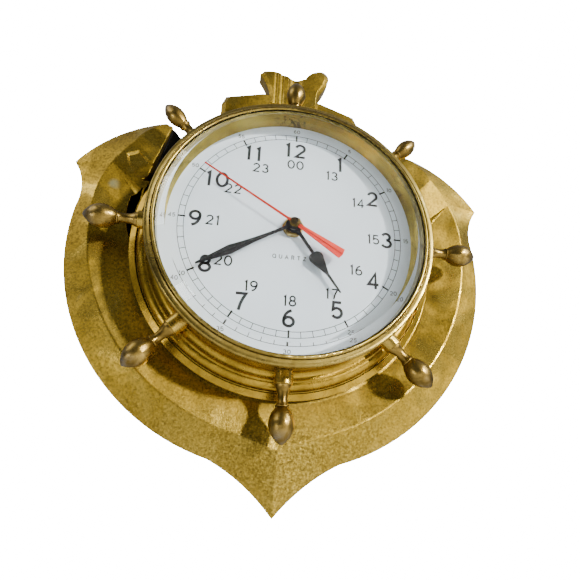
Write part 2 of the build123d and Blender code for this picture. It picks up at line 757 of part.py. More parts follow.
os.makedirs("parts", exist_ok=True)
for name, piece in all_pieces().items():
    if isinstance(piece, list):
        piece = Compound(children=[stand_up(one) for one in piece])
    else:
        piece = stand_up(piece)
    export_step(piece, f"parts/{name}.step")
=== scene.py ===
# %% [markdown]
# # A brass ship's clock
# A deck clock in a ship's-wheel case, on a cast brass anchor that hangs on a wall.
# The solid parts come from the CAD frame, so nothing is moved here. Blender adds what a CAD model
# doesn't have: the finishes, the printing on the dial, the lights and the camera. We start by
# loading the frame.

# %% Load the frame
from math import cos, radians, sin

import bpy
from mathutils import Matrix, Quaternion, Vector


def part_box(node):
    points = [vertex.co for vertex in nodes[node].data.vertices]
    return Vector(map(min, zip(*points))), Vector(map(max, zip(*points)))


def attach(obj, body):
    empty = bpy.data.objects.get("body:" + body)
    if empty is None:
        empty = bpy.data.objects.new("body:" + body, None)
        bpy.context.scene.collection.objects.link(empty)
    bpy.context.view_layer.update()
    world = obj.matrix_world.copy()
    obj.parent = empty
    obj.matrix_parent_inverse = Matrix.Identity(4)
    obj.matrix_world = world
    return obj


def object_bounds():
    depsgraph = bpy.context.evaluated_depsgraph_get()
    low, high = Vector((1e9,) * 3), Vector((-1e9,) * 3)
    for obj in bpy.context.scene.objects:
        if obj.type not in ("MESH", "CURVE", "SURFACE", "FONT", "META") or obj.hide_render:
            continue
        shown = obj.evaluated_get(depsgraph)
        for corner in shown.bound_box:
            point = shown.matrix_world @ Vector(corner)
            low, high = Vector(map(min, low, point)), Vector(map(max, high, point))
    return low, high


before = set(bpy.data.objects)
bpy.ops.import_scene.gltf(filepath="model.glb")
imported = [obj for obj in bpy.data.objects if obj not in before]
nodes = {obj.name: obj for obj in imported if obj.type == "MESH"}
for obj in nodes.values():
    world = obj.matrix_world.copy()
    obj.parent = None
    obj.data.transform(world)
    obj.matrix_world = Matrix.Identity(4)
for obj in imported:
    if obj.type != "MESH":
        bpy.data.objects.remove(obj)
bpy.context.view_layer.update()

MM = 0.001

# %% [markdown]
# ## Where things are
# The clock's axis is a line along Y through the middle of the dial. We measure it from the dial's
# own box instead of typing it in, so the printing follows the dial if the CAD ever changes.

# %% The dial's centre
dial_low, dial_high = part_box("dial")
AXIS_X = (dial_low.x + dial_high.x) / 2
AXIS_Z = (dial_low.z + dial_high.z) / 2
DIAL_Y = dial_low.y
print("dial centre", round(AXIS_X, 4), round(AXIS_Z, 4), "face at", round(DIAL_Y, 4))

# %% [markdown]
# ## The camera
# The clock is seen from close by, from below and a little from the left, so the near edges of the
# case look big. A short lens close to the subject gives that look. A rotation made from a look
# direction plus a small roll is easier to reason about than three Euler angles.

# %% Place the camera
CAMERA_PLACE = (-0.0263, -0.2000, -0.1796)
CAMERA_HEADING = 0.1506
CAMERA_TILT = 0.3660
CAMERA_ROLL = 0.0423
LENS_MM = 28.18

camera_data = bpy.data.cameras.new("camera")
camera_data.lens = LENS_MM
camera_data.clip_start = 0.005
camera = bpy.data.objects.new("camera", camera_data)
bpy.context.scene.collection.objects.link(camera)
look = Vector((sin(CAMERA_HEADING) * cos(CAMERA_TILT),
               cos(CAMERA_HEADING) * cos(CAMERA_TILT),
               sin(CAMERA_TILT)))
camera.rotation_mode = "QUATERNION"
camera.rotation_quaternion = look.to_track_quat("-Z", "Y") @ Quaternion((0, 0, 1), CAMERA_ROLL)
camera.location = CAMERA_PLACE
bpy.context.scene.camera = camera
print("camera looks along", [round(v, 3) for v in look])


# %% [markdown]
# ## A way to write node trees
# Every finish is a small network of shader nodes, and so is the studio's sky. Written out node by
# node they are long and hard to read, so these helpers do the wiring: each one adds a node, plugs
# its inputs in, and hands back the output that the next one needs.

# %% Node helpers
def plug(tree, socket, value):
    """Links a node's output to a socket, or sets the socket when the value is a number or tuple."""
    if isinstance(value, bpy.types.NodeSocket):
        tree.links.new(value, socket)
    elif value is not None:
        socket.default_value = value


def new_finish(name):
    """A material with its node tree and its Principled shader."""
    finish = bpy.data.materials.new(name)
    finish.use_nodes = True
    tree = finish.node_tree
    return finish, tree, tree.nodes["Principled BSDF"]


def new_shader(tree, kind, **settings):
    """A shader node with its inputs set; an underscore in a name stands for a space."""
    made = tree.nodes.new("ShaderNode" + kind)
    for name, value in settings.items():
        made.inputs[name.replace("_", " ")].default_value = value
    return made


def swap_by_ray(tree, ray, usual, special, last):
    """Shows the special shader to one sort of ray, and the usual one to all the others."""
    rays = tree.nodes.new("ShaderNodeLightPath")
    either = tree.nodes.new("ShaderNodeMixShader")
    tree.links.new(rays.outputs[ray], either.inputs["Fac"])
    tree.links.new(usual.outputs[0], either.inputs[1])
    tree.links.new(special.outputs[0], either.inputs[2])
    tree.links.new(either.outputs["Shader"], last.inputs["Surface"])


def position(tree):
    """Where a point is on the clock, in metres, at rest."""
    return tree.nodes.new("ShaderNodeTexCoord").outputs["Object"]


def noise(tree, where, scale, detail=3.0, rough=0.5, twist=0.0, stretch=None, shift=(0, 0, 0)):
    """Cloudy pattern from 0 to 1; the scale is in clouds per metre, roughly."""
    mapping = tree.nodes.new("ShaderNodeMapping")
    plug(tree, mapping.inputs["Vector"], where)
    mapping.inputs["Location"].default_value = shift
    mapping.inputs["Scale"].default_value = stretch or (1, 1, 1)
    made = tree.nodes.new("ShaderNodeTexNoise")
    plug(tree, made.inputs["Vector"], mapping.outputs["Vector"])
    made.inputs["Scale"].default_value = scale
    made.inputs["Detail"].default_value = detail
    made.inputs["Roughness"].default_value = rough
    made.inputs["Distortion"].default_value = twist
    return made.outputs["Fac"]


def ramp(tree, value, *stops):
    """Turns a value into a colour, or a grey level when the stops hold plain numbers."""
    made = tree.nodes.new("ShaderNodeValToRGB")
    plug(tree, made.inputs["Fac"], value)
    points = made.color_ramp.elements
    while len(points) < len(stops):
        points.new(0.5)
    for point, (place, colour) in zip(points, stops):
        point.position = place
        if isinstance(colour, tuple):
            point.color = (*colour, 1)
        else:
            point.color = (colour, colour, colour, 1)
    return made.outputs["Color"]


def maths(tree, operation, first, second=None):
    made = tree.nodes.new("ShaderNodeMath")
    made.operation = operation
    plug(tree, made.inputs[0], first)
    plug(tree, made.inputs[1], second)
    return made.outputs["Value"]


def blend_colours(tree, amount, first, second, way="MIX"):
    """Mixes two colours, or multiplies or adds them."""
    made = tree.nodes.new("ShaderNodeMixRGB")
    made.blend_type = way
    plug(tree, made.inputs["Fac"], amount)
    for socket, value in ((made.inputs["Color1"], first), (made.inputs["Color2"], second)):
        plug(tree, socket, (*value, 1) if isinstance(value, tuple) else value)
    return made.outputs["Color"]


def bumps(tree, height, depth, strength=1.0, under=None):
    """Normal that makes the surface look raised where the height is high."""
    made = tree.nodes.new("ShaderNodeBump")
    made.inputs["Strength"].default_value = strength
    made.inputs["Distance"].default_value = depth
    plug(tree, made.inputs["Height"], height)
    plug(tree, made.inputs["Normal"], under)
    return made.outputs["Normal"]


def split_xyz(tree, where):
    made = tree.nodes.new("ShaderNodeSeparateXYZ")
    plug(tree, made.inputs[0], where)
    return made.outputs["X"], made.outputs["Y"], made.outputs["Z"]


def times(tree, first, *others):
    """Product of masks or values."""
    for other in others:
        first = maths(tree, "MULTIPLY", first, other)
    return first


def band(tree, value, low, high):
    """0 below low, 1 above high, and a straight climb between; low may be above high."""
    made = tree.nodes.new("ShaderNodeMapRange")
    plug(tree, made.inputs["Value"], value)
    made.inputs["From Min"].default_value = low
    made.inputs["From Max"].default_value = high
    return made.outputs["Result"]


def from_axis(tree, where):
    """Distance from the clock's axis, in metres."""
    made = tree.nodes.new("ShaderNodeVectorMath")
    made.operation = "SUBTRACT"
    plug(tree, made.inputs[0], where)
    made.inputs[1].default_value = (AXIS_X, 0, AXIS_Z)
    flat = tree.nodes.new("ShaderNodeVectorMath")
    flat.operation = "MULTIPLY"
    plug(tree, flat.inputs[0], made.outputs["Vector"])
    flat.inputs[1].default_value = (1, 0, 1)
    length = tree.nodes.new("ShaderNodeVectorMath")
    length.operation = "LENGTH"
    plug(tree, length.inputs[0], flat.outputs["Vector"])
    return length.outputs["Value"]


def give(finish, *names):
    """Puts a finish on CAD nodes."""
    for name in names:
        nodes[name].data.materials.clear()
        nodes[name].data.materials.append(finish)
    print(finish.name, "on", len(names), "pieces")


# %% [markdown]
# ## The studio
# A pale floor well below the clock and a plain pale sky. Polished brass shows what is round it more
# than its own colour, so the sky is not one flat value: it is bright above and dimmer towards the
# ground, which gives every curved piece a light side and a dark side. What the camera sees straight
# behind the clock is clean white paper, as in a product studio.

# %% Floor
FLOOR_HALF = 8.0                 # metres from the middle of the floor to its edge
FLOOR_DROP = 0.6                 # how far the floor lies below the clock
FLOOR_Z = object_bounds()[0].z - FLOOR_DROP
PAPER_WHITE = 25.0               # strong enough to come out as clean white
WHITE = (1, 1, 1, 1)

floor_corners = [(FLOOR_HALF * side, FLOOR_HALF * end, FLOOR_Z)
                 for side, end in ((-1, -1), (1, -1), (1, 1), (-1, 1))]
floor_mesh = bpy.data.meshes.new("studio_floor")
floor_mesh.from_pydata(floor_corners, [], [(0, 1, 2, 3)])
floor = bpy.data.objects.new("studio_floor", floor_mesh)
bpy.context.scene.collection.objects.link(floor)
paper, tree, shader = new_finish("pale_paper")
shader.inputs["Base Color"].default_value = (0.75, 0.74, 0.72, 1)
shader.inputs["Roughness"].default_value = 0.9
glow = new_shader(tree, "Emission", Color=WHITE, Strength=PAPER_WHITE)
swap_by_ray(tree, "Is Camera Ray", shader, glow, tree.nodes["Material Output"])
floor_mesh.materials.append(paper)
print("floor at", round(FLOOR_Z, 3))

# %% Sky
SKY_STRENGTH = 0.62

world = bpy.data.worlds.new("studio")
bpy.context.scene.world = world
world.use_nodes = True
sky = world.node_tree
light_sky = sky.nodes["Background"]
direction = sky.nodes.new("ShaderNodeTexCoord").outputs["Generated"]
height = band(sky, split_xyz(sky, direction)[2], -1.0, 1.0)
clouds = noise(sky, direction, 1.6, detail=1.0)
shade = ramp(sky, height, (0.0, (0.10, 0.09, 0.07)), (0.42, (0.24, 0.22, 0.19)),
             (0.60, (0.60, 0.64, 0.70)), (1.0, (0.95, 0.98, 1.05)))
shade = blend_colours(sky, 1.0, shade, ramp(sky, clouds, (0.35, 0.45), (0.62, 1.2)), "MULTIPLY")
# the room in front of the clock is dim, so that the glass doesn't veil the hands
front_to_back = band(sky, split_xyz(sky, direction)[1], -1.0, 1.0)
dim_front = ramp(sky, front_to_back, (0.04, 0.22), (0.22, 0.75), (0.5, 1.0))
shade = blend_colours(sky, 1.0, shade, dim_front, "MULTIPLY")
sky.links.new(shade, light_sky.inputs["Color"])
light_sky.inputs["Strength"].default_value = SKY_STRENGTH
paper_sky = new_shader(sky, "Background", Color=WHITE, Strength=PAPER_WHITE)
swap_by_ray(sky, "Is Camera Ray", light_sky, paper_sky, sky.nodes["World Output"])
print("sky strength", SKY_STRENGTH, "and paper", PAPER_WHITE)


# %% [markdown]
# ## Lamps
# One small strong lamp on the right throws the crisp shadows of the handles and the bezel. Three
# wide soft panels stand where windows and a bright wall would be, for the brass to mirror. An area
# lamp shines one way only, along its own -Z, so each one is turned to face the dial. Distances are
# in metres, sizes too, and the strengths are in watts.

# %% Lamps
def panel_lamp(name, direction, distance, width, height, watts, colour):
    """A rectangular lamp that faces the middle of the clock from a direction."""
    data = bpy.data.lights.new(name, "AREA")
    data.shape = "RECTANGLE"
    data.size, data.size_y = width, height
    data.energy = watts
    data.color = colour
    lamp = bpy.data.objects.new(name, data)
    aim = Vector(direction).normalized()
    lamp.location = Vector((AXIS_X, DIAL_Y, AXIS_Z)) + aim * distance
    lamp.rotation_mode = "QUATERNION"
    lamp.rotation_quaternion = aim.to_track_quat("Z", "Y")
    lamp.visible_camera = False
    bpy.context.scene.collection.objects.link(lamp)


panel_lamp("key_lamp", (0.58, -0.78, 0.24), 2.5, 0.14, 0.14, 125, (1.0, 0.96, 0.90))
panel_lamp("window_right", (0.72, -0.50, 0.52), 2.2, 0.8, 0.8, 26, (0.94, 0.97, 1.0))
panel_lamp("wall_left", (-0.74, -0.34, 0.54), 2.2, 1.2, 1.2, 14, (1.0, 0.98, 0.95))
panel_lamp("window_low", (-0.80, -0.55, -0.35), 2.0, 0.7, 0.5, 9, (1.0, 0.98, 0.94))


# %% [markdown]
# ## Cast brass of the anchor
# The anchor is sand-cast and polished by hand. The polish is uneven: large smooth patches shine, the
# skin between them stays grainy and olive, and a few green spots and pinholes have come up. Painted
# shade darkens the closed-in places and makes the web and pockets by the case near black. Each of
# those is one mask made from noise, from a place on the casting or from how closed-in the surface
# is, and the masks are layered over two brass colours.

# %% Cast brass
def grime(tree, reach, dark, light):
    """Painted shade: 0 in closed-in places and 1 in the open, from how much of the sky a point sees."""
    made = tree.nodes.new("ShaderNodeAmbientOcclusion")
    made.samples = 6
    made.inputs["Distance"].default_value = reach
    return ramp(tree, made.outputs["AO"], (dark, 0.0), (light, 1.0))


def soft_edges(tree, radius):
    """Normal with its edges rounded, as a polishing wheel leaves them."""
    made = tree.nodes.new("ShaderNodeBevel")
    made.samples = 4
    made.inputs["Radius"].default_value = radius
    return made.outputs["Normal"]


cast, tree, shader = new_finish("cast_brass")
here = position(tree)
x, y, z = split_xyz(tree, here)
broad = noise(tree, here, 24, 3, shift=(0.3, 0, 0.1))
patches = noise(tree, here, 75, 3, 0.55, 0.8)
smooth_waves = noise(tree, here, 48, 1.0, 0.4, 0.3, shift=(0, 0, 0.4))
skin = noise(tree, here, 900, 4, 0.7)
colour = ramp(tree, broad, (0.32, (0.25, 0.160, 0.016)), (0.50, (0.40, 0.262, 0.028)),
              (0.68, (0.56, 0.375, 0.046)))
polished = ramp(tree, patches, (0.50, 0.0), (0.66, 0.55))
colour = blend_colours(tree, polished, colour, (0.74, 0.52, 0.085))
colour = blend_colours(tree, 1.0, colour, ramp(tree, skin, (0.34, 0.42), (0.58, 1.0)), "MULTIPLY")

# the crown and the foot of the arms were hardly polished, so their skin stays grainy and olive
UNPOLISHED_FROM, UNPOLISHED_BELOW = -0.145, -0.175
unpolished = times(tree, band(tree, z, UNPOLISHED_FROM, UNPOLISHED_BELOW),
                   ramp(tree, broad, (0.34, 0.95), (0.62, 0.45)))
grains = noise(tree, here, 950, 3, 0.85)
grainy = ramp(tree, grains, (0.38, (0.060, 0.043, 0.008)), (0.52, (0.25, 0.175, 0.026)),
              (0.66, (0.56, 0.41, 0.085)))
colour = blend_colours(tree, unpolished, colour, grainy)
# painted shade: the casting is darkened in its closed-in places
colour = blend_colours(tree, grime(tree, 0.007, 0.25, 0.80), (0.030, 0.020, 0.008), colour)

# painted shade: the web and the pockets beside the case are painted near black, as deep shade, and only in
# their upper half
in_hollow = times(tree, band(tree, y, -0.0032, -0.0026), band(tree, y, -0.0004, -0.0010))
beside_case = times(tree, band(tree, from_axis(tree, here), 0.0885, 0.0880), band(tree, z, -0.092, -0.086))
colour = blend_colours(tree, times(tree, in_hollow, beside_case), colour, (0.006, 0.006, 0.006))

# a few green spots have come up on the left arm
spots = tree.nodes.new("ShaderNodeTexVoronoi")
plug(tree, spots.inputs["Vector"], here)
spots.inputs["Scale"].default_value = 52
near_spot = ramp(tree, spots.outputs["Distance"], (0.10, 1.0), (0.19, 0.0))
left_arm = times(tree, band(tree, x, -0.078, -0.086), band(tree, z, -0.150, -0.140))
chance = ramp(tree, noise(tree, here, 60, 1, shift=(0.7, 0, 0)), (0.50, 0.0), (0.56, 0.9))
green = times(tree, near_spot, left_arm, chance)
colour = blend_colours(tree, green, colour, (0.13, 0.17, 0.11))
plug(tree, shader.inputs["Base Color"], colour)
plug(tree, shader.inputs["Metallic"], maths(tree, "SUBTRACT", 1.0, times(tree, green, 0.8)))
polish = ramp(tree, patches, (0.38, 0.42), (0.62, 0.24))
roughness = blend_colours(tree, 1.0, polish, ramp(tree, skin, (0.35, 0.08), (0.65, 0.0)), "ADD")
roughness = blend_colours(tree, unpolished, roughness, (0.46, 0.46, 0.46))
plug(tree, shader.inputs["Roughness"], roughness)
surface = bumps(tree, smooth_waves, 0.0022, 0.5, soft_edges(tree, 0.0007))
surface = bumps(tree, skin, 0.00010, 0.6, surface)
surface = bumps(tree, times(tree, grains, unpolished), 0.00022, 0.9, surface)
plug(tree, shader.inputs["Normal"], surface)
give(cast, "anchor_plate")


# %% [markdown]
# ## Turned and polished brass
# The case, bezel, inner ring, ferrules and cap were turned on a lathe, so the tool left very fine
# rings about the clock's axis. A one-dimensional noise read along the distance from the axis gives
# those rings. Wiping and handling add hairlines and dull stains, and the grooves get painted shade.

# %% Turned brass
def lathe_lines(tree, where, per_metre):
    """Fine rings about the clock's axis."""
    made = tree.nodes.new("ShaderNodeTexNoise")
    made.noise_dimensions = "1D"
    depth = split_xyz(tree, where)[1]
    along = maths(tree, "ADD", from_axis(tree, where), depth)
    plug(tree, made.inputs["W"], along)
    made.inputs["Scale"].default_value = per_metre
    made.inputs["Detail"].default_value = 4
    return made.outputs["Fac"]


def turned_brass(name, dull, bright, smooth, rough):
    """Brass with lathe lines, stains and painted shade in the grooves."""
    finish, tree, shader = new_finish(name)
    where = position(tree)
    clouds = noise(tree, where, 55, 4, 0.6, 0.7)
    lines = lathe_lines(tree, where, 5200)
    fine = noise(tree, where, 1400, 3, 0.7)
    stains = ramp(tree, noise(tree, where, 170, 4, 0.7, 1.5), (0.40, (0.55, 0.50, 0.42)), (0.52, (1, 1, 1)))
    streaks = ramp(tree, lines, (0.35, (0.62, 0.60, 0.55)), (0.65, (1, 1, 1)))
    colour = ramp(tree, clouds, (0.34, dull), (0.62, bright))
    colour = blend_colours(tree, 0.5, colour, stains, "MULTIPLY")
    colour = blend_colours(tree, 0.25, colour, streaks, "MULTIPLY")
    # painted shade: the brass is darkened in its grooves and other closed-in places
    colour = blend_colours(tree, grime(tree, 0.004, 0.22, 0.72), (0.045, 0.028, 0.009), colour)
    plug(tree, shader.inputs["Base Color"], colour)
    shader.inputs["Metallic"].default_value = 1.0
    level = ramp(tree, clouds, (0.35, rough), (0.65, smooth))
    hairlines = ramp(tree, fine, (0.4, 0.0), (0.7, 0.07))
    plug(tree, shader.inputs["Roughness"], blend_colours(tree, 1.0, level, hairlines, "ADD"))
    surface = bumps(tree, lines, 0.00004, 0.35, soft_edges(tree, 0.00025))
    surface = bumps(tree, fine, 0.00003, 0.35, surface)
    plug(tree, shader.inputs["Normal"], bumps(tree, clouds, 0.0005, 0.25, surface))
    return finish


HANDLES = range(1, 9)            # numbered clockwise from the top

give(turned_brass("case_brass", (0.30, 0.19, 0.018), (0.48, 0.31, 0.036), 0.20, 0.34), "case_body")
give(turned_brass("bezel_brass", (0.28, 0.20, 0.040), (0.46, 0.34, 0.085), 0.20, 0.34), "bezel")
give(turned_brass("bright_brass", (0.40, 0.27, 0.042), (0.62, 0.44, 0.095), 0.18, 0.30),
     "hand_cap", *[f"handle_ferrule_{number}" for number in HANDLES])
give(turned_brass("fixing_brass", (0.60, 0.44, 0.14), (0.74, 0.57, 0.22), 0.22, 0.36),
     "case_washers", "movement_bushing", "dial_washer", "dial_nut")


# %% [markdown]
# ## The inner ring
# The polished wall between dial and glass mirrors the white dial, and it shows every mark: dark
# scribbles of old lacquer near the top, and pale wiped bands. The scribbles are thin lines where a
# twisted noise crosses its middle value, kept to a few clusters by a second noise.

# %% Inner ring
ring_finish, tree, shader = new_finish("ring_brass")
here = position(tree)
twisted = noise(tree, here, 95, 3, 0.6, 2.2)
off_middle = maths(tree, "ABSOLUTE", maths(tree, "SUBTRACT", twisted, 0.5))
line = ramp(tree, off_middle, (0.006, 1.0), (0.018, 0.0))
cluster = ramp(tree, noise(tree, here, 34, 1, shift=(0.2, 0, 0.5)), (0.50, 0.0), (0.57, 1.0))
near_top = band(tree, split_xyz(tree, here)[2], -0.075, -0.060)
scribble = times(tree, line, cluster, near_top)
wiped = noise(tree, here, 40, 3, 0.5, 0.4)
colour = ramp(tree, wiped, (0.35, (0.24, 0.17, 0.030)), (0.60, (0.44, 0.33, 0.075)))
colour = blend_colours(tree, scribble, colour, (0.03, 0.022, 0.010))
plug(tree, shader.inputs["Base Color"], colour)
shader.inputs["Metallic"].default_value = 1.0
plug(tree, shader.inputs["Roughness"], ramp(tree, wiped, (0.35, 0.26), (0.65, 0.13)))
plug(tree, shader.inputs["Normal"], bumps(tree, lathe_lines(tree, here, 4200), 0.00003, 0.4))
give(ring_finish, "inner_ring")


# %% [markdown]
# ## The wheel handles
# The eight handles are a darker bronze. Hands have polished the fat of each egg, while the tips
# and the hollow of the neck have gone brown and grey. How far a point lies from the clock's axis
# tells neck from egg from tip, because all eight handles point straight out.

# %% Handle bronze
NECK_R, TIP_R = 0.066, 0.0895      # from the axis to a handle's neck and to its tip

bronze, tree, shader = new_finish("handle_bronze")
here = position(tree)
out = from_axis(tree, here)
clouds = noise(tree, here, 170, 4, 0.6, 0.8)
fine = noise(tree, here, 1600, 3, 0.7)
colour = ramp(tree, clouds, (0.34, (0.15, 0.098, 0.022)), (0.52, (0.27, 0.18, 0.042)),
              (0.70, (0.44, 0.30, 0.078)))
tarnished = blend_colours(tree, 1.0, colour, (0.55, 0.52, 0.46), "MULTIPLY")
wear = ramp(tree, band(tree, out, NECK_R, TIP_R), (0.0, 0.85), (0.22, 0.35), (0.42, 0.45),
            (0.62, 1.0), (0.80, 0.85), (1.0, 0.25))
colour = blend_colours(tree, wear, tarnished, colour)
tip = times(tree, band(tree, out, 0.0825, 0.0885), ramp(tree, clouds, (0.42, 0.0), (0.60, 0.9)))
colour = blend_colours(tree, tip, colour, (0.13, 0.12, 0.10))
# painted shade: the handles are darkened in their closed-in places
colour = blend_colours(tree, grime(tree, 0.003, 0.25, 0.7), (0.02, 0.014, 0.006), colour)
plug(tree, shader.inputs["Base Color"], colour)
plug(tree, shader.inputs["Metallic"], maths(tree, "SUBTRACT", 1.0, times(tree, tip, 0.4)))
plug(tree, shader.inputs["Roughness"], ramp(tree, clouds, (0.35, 0.38), (0.65, 0.25)))
plug(tree, shader.inputs["Normal"], bumps(tree, fine, 0.00006, 0.5, bumps(tree, clouds, 0.0006, 0.35)))
give(bronze, *[f"wheel_handle_{number}" for number in HANDLES])


# %% [markdown]
# ## Dial, hands and glass
# The dial is a thin disc in white gloss enamel, with a painted reflection: a cool blue tint for the
# sky seen in the glass. The hands are stamped sheet, painted matt black and red. The glass is a real
# refracting shader, so its wide bevel bends and doubles the outer minutes. Light has to pass it
# without a slow caustic, so shadow rays see it as simply clear.

# %% Dial and hands
enamel, tree, shader = new_finish("dial_enamel")
here = position(tree)
clouds = noise(tree, here, 30, 3)
dust = noise(tree, here, 3000, 2, 0.8)
# white enamel with a cool blue tint, which is a painted reflection of the sky in the glass
colour = ramp(tree, clouds, (0.3, (0.56, 0.63, 0.71)), (0.7, (0.60, 0.665, 0.735)))
colour = blend_colours(tree, ramp(tree, dust, (0.70, 0.0), (0.80, 0.35)), colour, (0.45, 0.45, 0.43))
plug(tree, shader.inputs["Base Color"], colour)
plug(tree, shader.inputs["Roughness"], ramp(tree, clouds, (0.3, 0.16), (0.7, 0.24)))
shader.inputs["Coat Weight"].default_value = 0.3
plug(tree, shader.inputs["Normal"], bumps(tree, noise(tree, here, 260, 2), 0.00006, 0.25))
give(enamel, "dial")


def paint(name, dark, light, roughness, grain=1800, shine=0.5):
    """Paint or plastic with a fine even grain."""
    finish, tree, shader = new_finish(name)
    shader.inputs["Specular IOR Level"].default_value = shine
    where = position(tree)
    fine = noise(tree, where, grain, 3, 0.6)
    worn = ramp(tree, noise(tree, where, 120, 3), (0.35, roughness), (0.65, roughness + 0.12))
    plug(tree, shader.inputs["Base Color"], ramp(tree, fine, (0.35, dark), (0.65, light)))
    plug(tree, shader.inputs["Roughness"], worn)
    plug(tree, shader.inputs["Normal"], bumps(tree, fine, 0.00003, 0.4))
    return finish


give(paint("hand_black", (0.006, 0.006, 0.006), (0.014, 0.014, 0.015), 0.55, shine=0.12),
     "hour_hand", "minute_hand")
give(paint("hand_red", (0.42, 0.020, 0.010), (0.52, 0.030, 0.015), 0.5, shine=0.15), "seconds_hand")

# %% Glass
clear, tree, shader = new_finish("clear_glass")
tree.nodes.remove(shader)
refract = new_shader(tree, "BsdfGlass", Color=(0.985, 0.995, 0.99, 1), Roughness=0.0, IOR=1.5)
smear = noise(tree, position(tree), 60, 4, 0.6, 1.0)
plug(tree, refract.inputs["Normal"], bumps(tree, smear, 0.00003, 0.12))
# the bevel throws light aside: a dim crescent under it and a brighter arc just inside
BEVEL_FROM, GLASS_EDGE = 0.0480, 0.0580      # from the axis, in metres

straight = new_shader(tree, "BsdfTransparent")
bevel_shade = ramp(tree, band(tree, from_axis(tree, position(tree)), BEVEL_FROM, GLASS_EDGE),
                   (0.0, 0.80), (0.08, 0.84), (0.18, 1.0), (0.28, 1.0), (0.32, 0.05), (1.0, 0.05))
plug(tree, straight.inputs["Color"], bevel_shade)
swap_by_ray(tree, "Is Shadow Ray", refract, straight, tree.nodes["Material Output"])
give(clear, "glass")
give(paint("pale_gasket", (0.42, 0.40, 0.34), (0.52, 0.50, 0.44), 0.35), "glass_gasket")


# %% [markdown]
# ## Inside and behind
# Turned over or taken apart, the clock shows its quartz movement: black and grey moulded shells,
# white nylon wheels, a lacquered copper coil on a white bobbin, a small green board, spring contacts
# and the cell. They get the same care, because the object is looked at from every side.

# %% Steel, rubber and plastics
steel, tree, shader = new_finish("bright_steel")
here = position(tree)
strokes = noise(tree, here, 500, 4, 0.6, stretch=(0.08, 1, 1))
clouds = noise(tree, here, 90, 3)
cloudy = ramp(tree, clouds, (0.35, (0.40, 0.40, 0.40)), (0.65, (0.58, 0.58, 0.58)))
brushed = ramp(tree, strokes, (0.35, (0.75, 0.74, 0.72)), (0.65, (1, 1, 1)))
plug(tree, shader.inputs["Base Color"], blend_colours(tree, 1.0, cloudy, brushed, "MULTIPLY"))
shader.inputs["Metallic"].default_value = 1.0
plug(tree, shader.inputs["Roughness"], ramp(tree, strokes, (0.35, 0.38), (0.65, 0.24)))
plug(tree, shader.inputs["Normal"], bumps(tree, strokes, 0.00004, 0.4))
give(steel, "hanger_plate", "hanger_screws", "case_screws", "handle_studs", "glass_retaining_ring",
     "stator", "quartz_crystal", "contact_negative", "contact_positive")

give(paint("black_rubber", (0.010, 0.010, 0.010), (0.022, 0.022, 0.022), 0.75, 1200), "rubber_washer")
give(paint("black_plastic", (0.010, 0.010, 0.011), (0.020, 0.020, 0.021), 0.45),
     "movement_case", "setting_knob", "board_chip")
give(paint("grey_plastic", (0.045, 0.046, 0.048), (0.065, 0.066, 0.068), 0.48), "movement_cover")
give(paint("white_nylon", (0.62, 0.60, 0.53), (0.72, 0.70, 0.64), 0.40),
     "train_bridge", "coil_bobbin", "rotor", "fifth_wheel", "seconds_wheel", "third_wheel",
     "centre_wheel", "cannon_pinion", "minute_wheel", "hour_wheel")

# %% Coil, board and cell
wire, tree, shader = new_finish("lacquered_wire")
here = position(tree)
turns = tree.nodes.new("ShaderNodeTexWave")
plug(tree, turns.inputs["Vector"], here)
turns.bands_direction = "Z"
turns.inputs["Scale"].default_value = 1300
turns.inputs["Distortion"].default_value = 1.2
copper = ramp(tree, turns.outputs["Fac"], (0.2, (0.22, 0.055, 0.018)), (0.8, (0.62, 0.22, 0.075)))
plug(tree, shader.inputs["Base Color"], copper)
shader.inputs["Metallic"].default_value = 0.8
plug(tree, shader.inputs["Roughness"], ramp(tree, noise(tree, here, 300, 2), (0.35, 0.22), (0.65, 0.34)))
plug(tree, shader.inputs["Normal"], bumps(tree, turns.outputs["Fac"], 0.0001, 0.8))
give(wire, "coil_winding")

board, tree, shader = new_finish("green_board")
here = position(tree)
tracks = tree.nodes.new("ShaderNodeTexBrick")
plug(tree, tracks.inputs["Vector"], here)
tracks.inputs["Scale"].default_value = 420
tracks.inputs["Mortar Size"].default_value = 0.035
fine = noise(tree, here, 900, 3)
green = ramp(tree, fine, (0.35, (0.012, 0.080, 0.035)), (0.65, (0.020, 0.120, 0.055)))
lacquer = blend_colours(tree, tracks.outputs["Fac"], green, (0.045, 0.22, 0.10))
plug(tree, shader.inputs["Base Color"], lacquer)
plug(tree, shader.inputs["Roughness"], ramp(tree, fine, (0.35, 0.22), (0.65, 0.32)))
plug(tree, shader.inputs["Normal"], bumps(tree, tracks.outputs["Fac"], 0.00005, 0.6))
give(board, "circuit_board")

CELL_ENDS = (-0.0256, 0.0248)    # x of the cell's two ends

cell, tree, shader = new_finish("cell_jacket")
here = position(tree)
along = split_xyz(tree, here)[0]
fine = noise(tree, here, 700, 3)
# bare steel at both ends, a black sleeve, and a copper-coloured band by the positive end
jacket = ramp(tree, band(tree, along, *CELL_ENDS), (0.0, (0.50, 0.50, 0.50)),
              (0.035, (0.012, 0.014, 0.020)), (0.70, (0.45, 0.20, 0.035)), (0.965, (0.50, 0.50, 0.50)))
jacket.node.color_ramp.interpolation = "CONSTANT"
rubbed = ramp(tree, fine, (0.35, (0.85, 0.85, 0.85)), (0.65, (1, 1, 1)))
plug(tree, shader.inputs["Base Color"], blend_colours(tree, 1.0, jacket, rubbed, "MULTIPLY"))
shader.inputs["Metallic"].default_value = 0.6
plug(tree, shader.inputs["Roughness"], ramp(tree, fine, (0.35, 0.22), (0.65, 0.32)))
plug(tree, shader.inputs["Normal"], bumps(tree, fine, 0.00003, 0.3))
give(cell, "battery")


